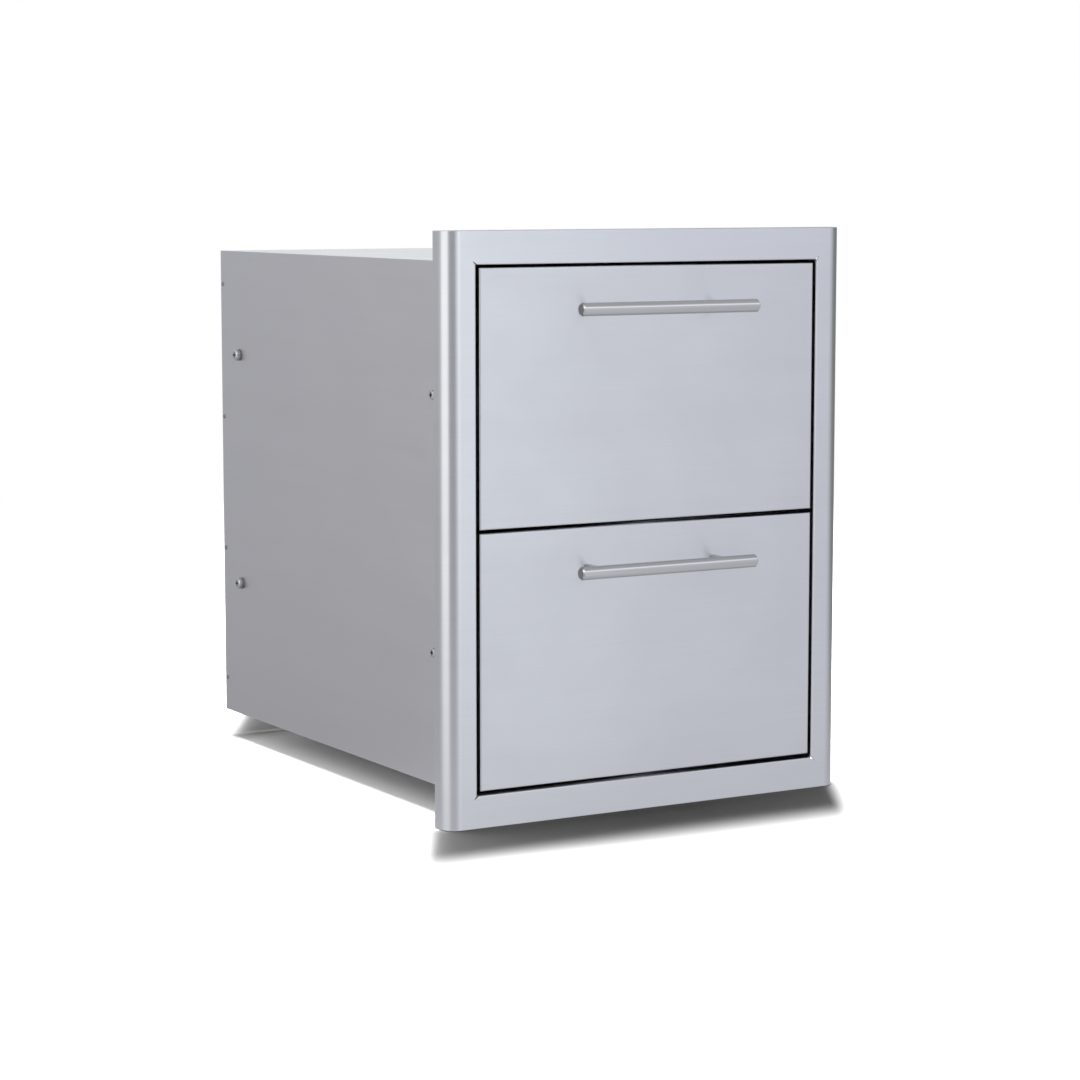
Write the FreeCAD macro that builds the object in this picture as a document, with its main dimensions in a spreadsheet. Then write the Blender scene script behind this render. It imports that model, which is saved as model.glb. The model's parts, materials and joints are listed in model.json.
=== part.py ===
import FreeCAD, Part
import os
import re
import Sketcher
from math import cos, pi, sin

# Two-drawer unit for an outdoor kitchen: a trim frame, a sheet-metal casing behind it, and two
# drawers on ball-bearing telescopic slides. Millimetres, +Z up, the front faces -Y.
# The origin is under the middle of the whole unit, level with the bottom edge of the frame.

SIZES = {
    # trim frame
    "frame_width": 425.0,
    "frame_height": 533.0,
    "frame_depth": 23.5,
    "stile_width": 30.5,
    "rail_height": 30.0,
    "edge_radius": 14.5,
    "frame_sheet": 1.2,
    "frame_lip": 12.0,
    "frame_bend": 1.5,
    "frame_corner": 1.0,
    "relief_reach": 3.4,
    "relief_width": 2.0,
    # casing
    "casing_depth": 537.0,
    "casing_sheet": 1.0,
    "casing_setback": 4.0,
    "casing_flange": 10.0,
    # gaps round the drawer fronts
    "gap_side": 3.25,
    "gap_top": 2.8,
    "gap_middle": 3.5,
    "gap_bottom": 4.0,
    # drawer front
    "front_depth": 20.0,
    "front_sheet": 1.0,
    "front_bend": 1.5,
    "front_flange": 16.0,
    "liner_margin": 3.0,
    # drawer tray
    "tray_sheet": 1.0,
    "tray_rear_room": 36.0,
    "tray_headroom": 37.35,
    "tray_lift": 14.0,
    "tray_rim": 8.0,
    "tray_tab": 12.0,
    "tab_relief": 14.0,
    "tray_bend": 2.0,
    "tray_back_flange": 12.0,
    # handle
    "handle_diameter": 12.0,
    "handle_length": 188.0,
    "handle_reach": 32.0,
    "handle_drop": 37.0,
    "handle_chamfer": 1.2,
    "post_inset": 26.0,
    "post_diameter": 8.0,
    "post_socket": 5.0,
    "post_thread_depth": 12.0,
    # telescopic slide
    "slide_setback": 25.0,
    "slide_rear_room": 12.0,
    "slide_height": 45.0,
    "slide_width": 12.7,
    "slide_sheet": 1.2,
    "slide_lip": 9.2,
    "bead_drop": 1.2,
    "ball_diameter": 4.0,
    "ball_offset": 7.0,
    "ball_play": 0.15,
    "member_play": 1.2,
    "cage_sheet": 0.6,
    "cage_play": 0.3,
    "cage_width": 8.4,
    "cage_end": 10.0,
    "ball_count": 6,
    "ball_pitch": 38.0,
    "hole_play": 0.06,
    "buffer_length": 9.0,
    "buffer_play": 0.3,
    # screws and rivets
    "front_screw_setback": 77.0,
    "rear_screw_inset": 42.5,
    "rear_screw_rise": 15.5,
    "screw_diameter": 5.0,
    "front_head_diameter": 8.6,
    "front_head_height": 2.2,
    "rear_head_diameter": 11.5,
    "rear_head_height": 5.5,
    "head_crown": 0.35,
    "recess_width": 1.5,
    "recess_depth": 1.3,
    "small_screw_diameter": 4.0,
    "small_head_diameter": 7.5,
    "small_head_height": 2.0,
    "small_screw_tip": 1.0,
    "tray_screw_front": 60.0,
    "tray_screw_end": 100.0,
    "front_screw_margin": 22.0,
    "rivet_diameter": 2.4,
    "rivet_head_diameter": 4.8,
    "rivet_head_height": 0.9,
    "rivet_inset": 4.5,
    "rivet_end_margin": 33.0,
    "screw_play": 0.1,
}

# Lengths and places that follow from the sizes above.
PLACES = {
    "front_y": "(handle_reach + handle_diameter / 2 - casing_depth) / 2",
    "frame_back_y": "front_y + frame_depth",
    "back_y": "front_y + casing_depth",
    "frame_half": "frame_width / 2",
    "opening_half": "frame_half - stile_width",
    "opening_top": "frame_height - rail_height",
    "wall_x": "opening_half + frame_sheet",
    "casing_half": "wall_x + casing_sheet",
    "casing_floor": "rail_height - frame_sheet",
    "casing_ceiling": "opening_top + frame_sheet",
    "casing_back_y": "back_y - casing_sheet",
    "front_half": "opening_half - gap_side",
    "front_height": "(opening_top - rail_height - gap_top - gap_middle - gap_bottom) / 2",
    "lower_base": "rail_height + gap_bottom",
    "upper_base": "lower_base + front_height + gap_middle",
    "drawer_rise": "upper_base - lower_base",
    "pan_back_y": "front_y + front_depth",
    "tray_front_y": "pan_back_y + front_sheet",
    "tray_back_y": "back_y - tray_rear_room",
    "tray_depth": "tray_back_y - tray_front_y",
    "tray_height": "front_height - tray_lift - tray_headroom",
    "tray_half": "wall_x - slide_width",
    "lower_handle_z": "lower_base + front_height - handle_drop",
    "upper_handle_z": "upper_base + front_height - handle_drop",
    "handle_y": "front_y - handle_reach",
    "post_spacing": "handle_length - 2 * post_inset",
    "slide_y": "front_y + slide_setback",
    "slide_length": "casing_depth - slide_setback - slide_rear_room",
    "member_length": "slide_length - buffer_length - buffer_play",
    "lower_slide_z": "lower_base + front_height / 2",
    "upper_slide_z": "upper_base + front_height / 2",
    "outer_inside": "slide_height / 2 - slide_sheet",
    "middle_outside": "outer_inside - ball_diameter - 2 * ball_play",
    "middle_inside": "middle_outside - slide_sheet",
    "inner_outside": "middle_inside - ball_diameter - 2 * ball_play",
    "inner_inside": "inner_outside - slide_sheet",
    "middle_web": "slide_sheet + member_play",
    "inner_web": "slide_width - slide_sheet",
    "outer_ball_z": "outer_inside - ball_play - ball_diameter / 2",
    "inner_ball_z": "middle_inside - ball_play - ball_diameter / 2",
    "inner_lip": "middle_web + slide_sheet + 2 * cage_play + cage_sheet",
    "cage_length": "(ball_count - 1) * ball_pitch + 2 * cage_end",
    "slide_middle_y": "slide_y + slide_length / 2",
    "tray_screw_rear": "slide_length - tray_screw_end",
    "front_screw_y": "front_y + front_screw_setback",
    "rear_screw_y": "back_y - rear_screw_inset",
    "rivet_y": "back_y - rivet_inset",
}

DRAWERS = ("lower", "upper")
SIDES = ("left", "right")
STAGES = ("outer", "inner")
RIVETS_PER_SIDE = 4
LABELS = []

document = FreeCAD.newDocument("drawer_unit")
sheet = document.addObject("Spreadsheet::Sheet", "sizes")
places = document.addObject("App::FeaturePython", "places")


def formula(text):
    """The formula with each name bound to the object that holds it."""
    def bound(found):
        name = found.group(0)
        if name in SIZES:
            return "sizes." + name
        if name in PLACES:
            return "places." + name
        raise NameError(name)
    return re.sub(r"[a-z][a-z_]+", bound, str(text))


def fill_sheet():
    """The driving sizes as aliased cells, and the places as properties that follow them."""
    for row, (name, size) in enumerate(SIZES.items(), start=1):
        sheet.set(f"A{row}", name)
        sheet.set(f"B{row}", str(size))
        sheet.setAlias(f"B{row}", name)
    document.recompute()
    for name in PLACES:
        places.addProperty("App::PropertyFloat", name)
    for name, text in PLACES.items():
        places.setExpression(name, formula(text))
    document.recompute()


def number(name):
    """The present value of a size or a place."""
    return float(sheet.get(name)) if name in SIZES else getattr(places, name)


def new_body(label):
    """A body for one sub-part."""
    body = document.addObject("PartDesign::Body", label)
    body.Label = label
    LABELS.append(label)
    return body


def origin_part(body, role):
    """One of the body's own origin planes or axes."""
    return next(part for part in body.Origin.OriginFeatures if part.Role == role)


def sketch_on(body, plane, place):
    """A sketch on an origin plane, moved to the place (x, y, z), given as formulas."""
    sketch = body.newObject("Sketcher::SketchObject", body.Label + "_sketch")
    sketch.AttachmentSupport = [(origin_part(body, plane), "")]
    sketch.MapMode = "FlatFace"
    x, y, z = place
    across, up, out = {
        "XY_Plane": (x, y, z),
        "XZ_Plane": (x, z, f"-({y})"),
        "YZ_Plane": (y, z, x),
    }[plane]
    for axis, text in zip("xyz", (across, up, out)):
        if str(text) != "0":
            sketch.setExpression(f"AttachmentOffset.Base.{axis}", formula(text))
    return sketch


def bind(sketch, kind, geometry, point, text):
    """A dimension whose value is a formula."""
    if point:
        index = sketch.addConstraint(Sketcher.Constraint(kind, geometry, point, 1.0))
    else:
        index = sketch.addConstraint(Sketcher.Constraint(kind, geometry, 1.0))
    sketch.setExpression(f"Constraints[{index}]", formula(text))


def draw_outline(sketch, points):
    """A closed outline of straight lines through points given as formulas."""
    first = sketch.GeometryCount
    count = len(points)
    start = [FreeCAD.Vector(cos(2 * pi * i / count), sin(2 * pi * i / count), 0) for i in range(count)]
    for i in range(count):
        sketch.addGeometry(Part.LineSegment(start[i], start[(i + 1) % count]), False)
    for i in range(count):
        sketch.addConstraint(Sketcher.Constraint("Coincident", first + i, 2, first + (i + 1) % count, 1))
    for i, (across, up) in enumerate(points):
        bind(sketch, "DistanceX", first + i, 1, across)
        bind(sketch, "DistanceY", first + i, 1, up)


def draw_circle(sketch, across, up, diameter):
    """A circle at a place given as formulas."""
    circle = Part.Circle(FreeCAD.Vector(0, 0, 0), FreeCAD.Vector(0, 0, 1), 1.0)
    index = sketch.addGeometry(circle, False)
    bind(sketch, "DistanceX", index, 3, across)
    bind(sketch, "DistanceY", index, 3, up)
    bind(sketch, "Radius", index, 0, f"({diameter}) / 2")


def box(left, right, low, high):
    """The outline of an upright rectangle."""
    return [(left, low), (right, low), (right, high), (left, high)]


def draw(body, plane, place, shapes):
    """A sketch of outlines, as lists of points, and circles, as (across, up, diameter)."""
    sketch = sketch_on(body, plane, place)
    for shape in shapes:
        if isinstance(shape, list):
            draw_outline(sketch, shape)
        else:
            draw_circle(sketch, *shape)
    return sketch


def pad(body, plane, place, length, *shapes):
    """Adds the sketch's area, swept towards the plane's positive axis."""
    feature = body.newObject("PartDesign::Pad", body.Label + "_pad")
    feature.Profile = draw(body, plane, place, shapes)
    feature.setExpression("Length", formula(length))
    feature.Reversed = plane == "XZ_Plane"
    document.recompute()
    return feature


def cut(body, plane, place, length, *shapes):
    """Removes the sketch's area, swept towards the plane's positive axis."""
    before = body.Shape.Volume
    sketch = draw(body, plane, place, shapes)
    feature = body.newObject("PartDesign::Pocket", body.Label + "_cut")
    feature.Profile = sketch
    feature.setExpression("Length", formula(length))
    feature.Reversed = plane != "XZ_Plane"
    document.recompute()
    if not body.Shape.Volume < before:
        raise RuntimeError(f"a cut in {body.Label} removes nothing")
    return feature


def turn(body, plane, place, points, axis):
    """Adds the outline turned round the sketch's own H_Axis or V_Axis."""
    sketch = draw(body, plane, place, [points])
    feature = body.newObject("PartDesign::Revolution", body.Label + "_turn")
    feature.Profile = sketch
    feature.ReferenceAxis = (sketch, [axis])
    feature.Angle = 360
    document.recompute()
    return feature


def repeat(body, features, rows=(), mirror=None):
    """Copies features along axes, rows of (axis, length, count), and then across a plane."""
    group = body.newObject("PartDesign::MultiTransform", body.Label + "_copies")
    group.Originals = list(features)
    steps = []
    for axis, length, count in rows:
        row = body.newObject("PartDesign::LinearPattern", body.Label + "_row")
        row.Direction = (origin_part(body, axis), [""])
        row.setExpression("Length", formula(length))
        row.setExpression("Occurrences", formula(count))
        steps.append(row)
    if mirror:
        across = body.newObject("PartDesign::Mirrored", body.Label + "_mirror")
        across.MirrorPlane = (origin_part(body, mirror), [""])
        steps.append(across)
    group.Transformations = steps
    body.Tip = group
    document.recompute()


def near(value, name):
    """Whether a coordinate lies at the named place."""
    return abs(value - (number(name) if isinstance(name, str) else name)) < 0.01


def rounded(body, radius, test, square_to_x=False):
    """Rounds each edge whose ends pass the test, or only those that keep one x."""
    tip = body.Tip
    names = [
        f"Edge{i}"
        for i, edge in enumerate(tip.Shape.Edges, start=1)
        if all(test(corner.Point) for corner in edge.Vertexes)
        and (not square_to_x or edge.BoundBox.XLength < 0.01)
    ]
    feature = body.newObject("PartDesign::Fillet", body.Label + "_round")
    feature.Base = (tip, names)
    feature.setExpression("Radius", formula(radius))
    document.recompute()


def hollowed(body, wall, back):
    """Hollows the body to a wall, open at the flat face that lies at the named y."""
    tip = body.Tip
    names = [
        f"Face{i}"
        for i, face in enumerate(tip.Shape.Faces, start=1)
        if near(face.BoundBox.YMin, back) and near(face.BoundBox.YMax, back)
    ]
    feature = body.newObject("PartDesign::Thickness", body.Label + "_shell")
    feature.Base = (tip, names)
    feature.setExpression("Value", formula(wall))
    feature.Join = 1
    feature.Reversed = True
    document.recompute()


# Trim frame

def make_front_frame():
    """Folded frame: round outer stiles, a return round the opening and a lip behind."""
    body = new_body("front_frame")
    pad(body, "XZ_Plane", (0, "front_y", 0), "frame_depth",
        box("-frame_half", "frame_half", 0, "frame_height"),
        box("-opening_half", "opening_half", "rail_height", "opening_top"))
    rounded(body, "edge_radius",
            lambda p: near(p.y, "front_y") and near(abs(p.x), "frame_half"), square_to_x=True)
    hollowed(body, "frame_sheet", "frame_back_y")
    pad(body, "XZ_Plane", (0, "frame_back_y - frame_sheet", 0), "frame_sheet",
        box("-frame_half", "frame_half", 0, "frame_height"),
        box("frame_lip - frame_half", "frame_half - frame_lip", "frame_lip", "frame_height - frame_lip"))
    rounded(body, "frame_corner",
            lambda p: (near(p.z, 0) or near(p.z, "frame_height")) and p.y < number("frame_back_y") - 0.01
            and (near(p.y, "front_y") or near(abs(p.x), "frame_half")))
    rounded(body, "frame_bend",
            lambda p: near(p.y, "front_y") and abs(p.x) < number("opening_half") + 0.01
            and number("rail_height") - 0.01 < p.z < number("opening_top") + 0.01)
    corners = []
    for side in (-1, 1):
        for edge, way in (("rail_height", -1), ("opening_top", 1)):
            corners.append([
                (f"{side} * (opening_half - relief_width)", edge),
                (f"{side} * opening_half", f"{edge} - {way} * relief_width"),
                (f"{side} * (opening_half + relief_reach)", f"{edge} + {way} * relief_reach"),
            ])
    cut(body, "XZ_Plane", (0, "front_y", 0), "2 * frame_sheet", *corners)


# Casing

def make_casing_side(side):
    """Side wall with flanges under the top panel and over the bottom one."""
    sign = -1 if side == "left" else 1
    body = new_body(f"casing_{side}")
    outline = box(f"{sign} * wall_x", f"{sign} * casing_half", "casing_floor", "casing_ceiling")
    pad(body, "XZ_Plane", (0, "front_y + casing_setback", 0), "casing_depth - casing_setback", outline)
    flanges = [
        box(f"{sign} * (wall_x - casing_flange)", f"{sign} * wall_x", low, high)
        for low, high in (
            ("casing_floor", "casing_floor + casing_sheet"),
            ("casing_ceiling - casing_sheet", "casing_ceiling"),
        )
    ]
    pad(body, "XZ_Plane", (0, "frame_back_y", 0),
        "casing_depth - frame_depth - casing_flange - casing_sheet", *flanges)
    start = "wall_x" if sign > 0 else "-casing_half"
    hole = "screw_diameter + 2 * screw_play"
    cut(body, "YZ_Plane", (start, 0, 0), "casing_sheet",
        *[("front_screw_y", f"{drawer}_slide_z", hole) for drawer in DRAWERS],
        *[("rear_screw_y", f"{drawer}_slide_z + rear_screw_rise", hole) for drawer in DRAWERS])
    rivet_holes(body, start, "casing_sheet")


def rivet_holes(body, start, depth):
    """The column of rivet holes that joins a side wall to the back panel."""
    low, pitch = rivet_column()
    sketch_place = (start, "rivet_y", low)
    holes = cut(body, "YZ_Plane", sketch_place, depth, (0, 0, "rivet_diameter + 2 * screw_play"))
    repeat(body, [holes], [("Z_Axis", pitch, RIVETS_PER_SIDE)])


def rivet_column():
    """Height of the lowest rivet of a casing side, and the length of the column."""
    low = "casing_floor + rivet_end_margin"
    return low, "casing_ceiling - casing_floor - 2 * rivet_end_margin"


def make_casing_plate(label, low):
    """Flat top or bottom panel."""
    body = new_body(label)
    pad(body, "XY_Plane", (0, 0, low), "casing_sheet",
        box("-casing_half", "casing_half", "front_y + casing_setback", "back_y"))


def make_casing_back():
    """Back panel with a flange forwards along each side."""
    body = new_body("casing_back")
    flange_y = "casing_back_y - casing_flange"
    pad(body, "XY_Plane", (0, 0, "casing_floor"), "casing_ceiling - casing_floor", [
        ("-wall_x", flange_y),
        ("casing_sheet - wall_x", flange_y),
        ("casing_sheet - wall_x", "casing_back_y"),
        ("wall_x - casing_sheet", "casing_back_y"),
        ("wall_x - casing_sheet", flange_y),
        ("wall_x", flange_y),
        ("wall_x", "back_y"),
        ("-wall_x", "back_y"),
    ])
    low, pitch = rivet_column()
    hole = ("rivet_y", 0, "rivet_diameter + 2 * screw_play")
    left = cut(body, "YZ_Plane", ("-wall_x", 0, low), "casing_sheet", hole)
    repeat(body, [left], [("Z_Axis", pitch, RIVETS_PER_SIDE)], "YZ_Plane")


def make_casing_rivets():
    """Rivets through each side wall and the back panel's flange."""
    body = new_body("casing_rivets")
    low, pitch = rivet_column()
    rivet = turn(body, "XY_Plane", ("-casing_half", "rivet_y", low),
                 rivet_outline("2 * casing_sheet"), "H_Axis")
    repeat(body, [rivet], [("Z_Axis", pitch, RIVETS_PER_SIDE)], "YZ_Plane")


def rivet_outline(grip):
    """Half section of a rivet along the sketch's horizontal axis: head, shank and upset tail."""
    head = "rivet_head_diameter / 2"
    return [
        ("-rivet_head_height", 0),
        ("-rivet_head_height", f"{head} * 0.55"),
        ("-rivet_head_height * 0.45", f"{head} * 0.9"),
        (0, head),
        (0, "rivet_diameter / 2"),
        (grip, "rivet_diameter / 2"),
        (grip, "rivet_diameter * 0.75"),
        (f"{grip} + rivet_head_height", "rivet_diameter * 0.6"),
        (f"{grip} + rivet_head_height", 0),
    ]


# Screws

def screw_outline(head_diameter, head_height, diameter, length, way=1):
    """Half section of a screw whose shank points along way on the sketch's axis. Its pan head has an
    upright flank, and a quarter round between the flank and the flat top."""
    head = f"({head_diameter}) / 2"
    crown = f"head_crown * {head_height}"
    quarter = [pi / 8 * step for step in range(5)]
    return [
        (f"{-way} * {head_height}", 0),
        *[(f"{-way} * ({head_height} - {crown} * {1 - cos(angle):.4f})",
           f"{head} - {crown} * {1 - sin(angle):.4f}") for angle in quarter],
        (0, head),
        (0, f"({diameter}) / 2"),
        (f"{way} * ({length})", f"({diameter}) / 2"),
        (f"{way} * ({length})", 0),
    ]


def cross_recess(body, plane, place, across, up, head_diameter):
    """The crossed slots in a screw head, cut from the head's outer face inwards."""
    reach = f"({head_diameter}) * 0.27"
    half = "recess_width / 2"
    slots = [
        box(f"{across} - {reach}", f"{across} + {reach}", f"{up} - {half}", f"{up} + {half}"),
        box(f"{across} - {half}", f"{across} + {half}", f"{up} - {reach}", f"{up} + {reach}"),
    ]
    return [cut(body, plane, place, "recess_depth", slot) for slot in slots]


def make_side_screws(label, place_y, rise, head_diameter, head_height):
    """Screws through the casing's side walls into the fixed members of the slides."""
    body = new_body(label)
    height = f"lower_slide_z + {rise}"
    shank = turn(body, "XY_Plane", ("-casing_half", place_y, height),
                 screw_outline(head_diameter, head_height, "screw_diameter",
                               "casing_sheet + slide_sheet"), "H_Axis")
    slots = cross_recess(body, "YZ_Plane", (f"-casing_half - {head_height}", 0, 0),
                         place_y, height, head_diameter)
    repeat(body, [shank] + slots, [("Z_Axis", "drawer_rise", 2)], "YZ_Plane")


# Telescopic slides

def across_slide(side, depth):
    """Where a point lies that is a depth inwards from the casing's side wall."""
    return f"{-1 if side == 'left' else 1} * (wall_x - ({depth}))"


def channel(side, centre, web, tip, outside, inside):
    """Section of a channel: web from and to a depth, lips to a depth, half heights of the lips."""
    back, face = web
    points = [
        (back, f"-({outside})"), (tip, f"-({outside})"), (tip, f"-({inside})"), (face, f"-({inside})"),
        (face, inside), (tip, inside), (tip, outside), (back, outside),
    ]
    return [(across_slide(side, depth), f"{centre} + {height}") for depth, height in points]


def make_slide_outer(drawer, side):
    """Fixed member: a channel on the casing's wall, with a bead along each lip."""
    body = new_body(f"{drawer}_{side}_slide_outer")
    centre = f"{drawer}_slide_z"
    bead = "slide_lip + slide_sheet"
    pad(body, "XZ_Plane", (0, "slide_y", 0), "slide_length",
        channel(side, centre, (0, "slide_sheet"), bead, "slide_height / 2", "outer_inside"))
    pad(body, "XZ_Plane", (0, "slide_y", 0), "slide_length",
        *[box(across_slide(side, "slide_lip"), across_slide(side, bead), low, high)
          for low, high in (
              (f"{centre} - outer_inside", f"{centre} - outer_inside + bead_drop"),
              (f"{centre} + outer_inside - bead_drop", f"{centre} + outer_inside"),
          )])
    start = "-wall_x" if side == "left" else "wall_x - slide_sheet"
    hole = "screw_diameter + 2 * screw_play"
    cut(body, "YZ_Plane", (start, 0, 0), "slide_sheet",
        ("front_screw_y", centre, hole), ("rear_screw_y", f"{centre} + rear_screw_rise", hole))


def make_slide_middle(drawer, side):
    """Middle member: a channel that runs on balls inside the fixed member's lips."""
    body = new_body(f"{drawer}_{side}_slide_middle")
    pad(body, "XZ_Plane", (0, "slide_y", 0), "member_length",
        channel(side, f"{drawer}_slide_z", ("middle_web", "middle_web + slide_sheet"),
                "slide_lip + slide_sheet", "middle_outside", "middle_inside"))


def make_slide_inner(drawer, side):
    """Drawer member: a channel on the tray's side that runs on balls inside the middle member."""
    body = new_body(f"{drawer}_{side}_slide_inner")
    pad(body, "XZ_Plane", (0, "slide_y", 0), "member_length",
        channel(side, f"{drawer}_slide_z", ("slide_width", "inner_web"), "inner_lip",
                "inner_outside", "inner_inside"))
    start = "-wall_x + inner_web" if side == "left" else "wall_x - slide_width"
    hole = "small_screw_diameter + 2 * screw_play"
    cut(body, "YZ_Plane", (start, 0, 0), "slide_sheet",
        ("slide_y + tray_screw_front", f"{drawer}_slide_z", hole),
        ("slide_y + tray_screw_rear", f"{drawer}_slide_z", hole))


def make_ball_cage(drawer, side, stage):
    """Thin channel that holds a stage's balls in line between two members."""
    body = new_body(f"{drawer}_{side}_{stage}_cage")
    web = "slide_sheet + cage_play" if stage == "outer" else "middle_web + slide_sheet + cage_play"
    row = f"{stage}_ball_z"
    pad(body, "XZ_Plane", (0, "slide_middle_y - cage_length / 2", 0), "cage_length",
        channel(side, f"{drawer}_slide_z", (web, f"{web} + cage_sheet"), f"{web} + cage_width",
                f"{row} + cage_sheet / 2", f"{row} - cage_sheet / 2"))
    hole = cut(body, "XY_Plane", (0, 0, f"{drawer}_slide_z - slide_height / 2"), "slide_height",
               (across_slide(side, "ball_offset"), first_ball_y(), "ball_diameter + 2 * hole_play"))
    repeat(body, [hole], [("Y_Axis", "(ball_count - 1) * ball_pitch", "ball_count")])


def first_ball_y():
    """Where the foremost balls of every cage lie."""
    return "slide_middle_y - (ball_count - 1) * ball_pitch / 2"


def make_balls(drawer, side, stage):
    """The balls of one stage, in a row above and a row below."""
    body = new_body(f"{drawer}_{side}_{stage}_balls")
    ball = body.newObject("PartDesign::AdditiveSphere", body.Label + "_ball")
    ball.setExpression("Radius", formula("ball_diameter / 2"))
    place = (across_slide(side, "ball_offset"), first_ball_y(), f"{drawer}_slide_z - {stage}_ball_z")
    for axis, text in zip("xyz", place):
        ball.setExpression(f"Placement.Base.{axis}", formula(text))
    document.recompute()
    repeat(body, [ball], [
        ("Z_Axis", f"2 * {stage}_ball_z", 2),
        ("Y_Axis", "(ball_count - 1) * ball_pitch", "ball_count"),
    ])


def make_slide_buffers():
    """Rubber blocks in the back ends of the fixed members, which the moving members meet."""
    body = new_body("slide_buffers")
    block = pad(body, "XZ_Plane", (0, "slide_y + slide_length - buffer_length", 0), "buffer_length",
                box("slide_sheet - wall_x", "slide_lip - wall_x",
                    "lower_slide_z - middle_outside", "lower_slide_z + middle_outside"))
    repeat(body, [block], [("Z_Axis", "drawer_rise", 2)], "YZ_Plane")


# Drawers

def make_drawer_front(drawer):
    """Outer pan of a drawer front: folded edges all round and a flange behind."""
    body = new_body(f"{drawer}_drawer_front")
    base = f"{drawer}_base"
    outer = box("-front_half", "front_half", base, f"{base} + front_height")
    pad(body, "XZ_Plane", (0, "front_y", 0), "front_depth", outer)
    hollowed(body, "front_sheet", "pan_back_y")
    pad(body, "XZ_Plane", (0, "pan_back_y - front_sheet", 0), "front_sheet", outer,
        box("front_flange - front_half", "front_half - front_flange",
            f"{base} + front_flange", f"{base} + front_height - front_flange"))
    rounded(body, "front_bend", lambda p: near(p.y, "front_y"))
    hole = "small_screw_diameter + 2 * screw_play"
    cut(body, "XZ_Plane", (0, "front_y", 0), "front_sheet",
        *[(f"{sign} * post_spacing / 2", f"{drawer}_handle_z", hole) for sign in (-1, 1)])
    cut(body, "XZ_Plane", (0, "pan_back_y - front_sheet", 0), "front_sheet", *liner_holes(drawer))


def liner_holes(drawer):
    """The holes for the screws that join tray, liner and front."""
    hole = "small_screw_diameter + 2 * screw_play"
    return [
        (f"{sign} * (tray_half - tray_sheet - tray_tab / 2)", height, hole)
        for sign in (-1, 1)
        for height in front_screw_heights(drawer)
    ]


def front_screw_heights(drawer):
    """Heights of the lower and the upper screw in each front tab of a tray."""
    low = f"{drawer}_base + tray_lift"
    return f"{low} + front_screw_margin", f"{low} + tray_height - front_screw_margin"


def make_drawer_liner(drawer):
    """Flat inner panel that closes the back of a drawer front."""
    body = new_body(f"{drawer}_drawer_liner")
    base = f"{drawer}_base"
    pad(body, "XZ_Plane", (0, "pan_back_y", 0), "front_sheet",
        box("liner_margin - front_half", "front_half - liner_margin",
            f"{base} + liner_margin", f"{base} + front_height - liner_margin"))
    cut(body, "XZ_Plane", (0, "pan_back_y", 0), "front_sheet", *liner_holes(drawer))


def make_drawer_tray(drawer):
    """Bottom and both sides of a drawer in one folded sheet, with rims and front tabs."""
    body = new_body(f"{drawer}_drawer_tray")
    low = f"{drawer}_base + tray_lift"
    high = f"{low} + tray_height"
    half, sheet_in = "tray_half", "tray_half - tray_sheet"
    pad(body, "XZ_Plane", (0, "tray_front_y", 0), "tray_depth", [
        (f"-{half}", low), (half, low), (half, high),
        ("tray_half - tray_rim", high), ("tray_half - tray_rim", f"{high} - tray_sheet"),
        (sheet_in, f"{high} - tray_sheet"), (sheet_in, f"{low} + tray_sheet"),
        (f"-({sheet_in})", f"{low} + tray_sheet"), (f"-({sheet_in})", f"{high} - tray_sheet"),
        ("tray_rim - tray_half", f"{high} - tray_sheet"), ("tray_rim - tray_half", high),
        (f"-{half}", high),
    ])
    tray_low = number(f"{drawer}_base") + number("tray_lift")
    rounded(body, "tray_bend", lambda p: near(p.z, tray_low) and near(abs(p.x), "tray_half"),
            square_to_x=True)
    rounded(body, "tray_bend - tray_sheet",
            lambda p: near(p.z, tray_low + number("tray_sheet"))
            and near(abs(p.x), number("tray_half") - number("tray_sheet")), square_to_x=True)
    pad(body, "XZ_Plane", (0, "tray_front_y", 0), "tray_sheet",
        *[box(f"{sign} * ({sheet_in})", f"{sign} * ({sheet_in} - tray_tab)",
              f"{low} + tab_relief", f"{high} - tab_relief") for sign in (-1, 1)])
    cut(body, "XZ_Plane", (0, "tray_front_y", 0), "tray_sheet", *liner_holes(drawer))
    hole = "small_screw_diameter + 2 * screw_play"
    rivet_hole = "rivet_diameter + 2 * screw_play"
    for start in ("-tray_half", sheet_in):
        cut(body, "YZ_Plane", (start, 0, 0), "tray_sheet",
            ("slide_y + tray_screw_front", f"{drawer}_slide_z", hole),
            ("slide_y + tray_screw_rear", f"{drawer}_slide_z", hole),
            *[(tray_rivet_y(), height, rivet_hole) for height in front_screw_heights(drawer)])


def tray_rivet_y():
    """Where the rivets of a tray's back panel lie."""
    return "tray_back_y - tray_sheet - tray_back_flange / 2"


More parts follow.
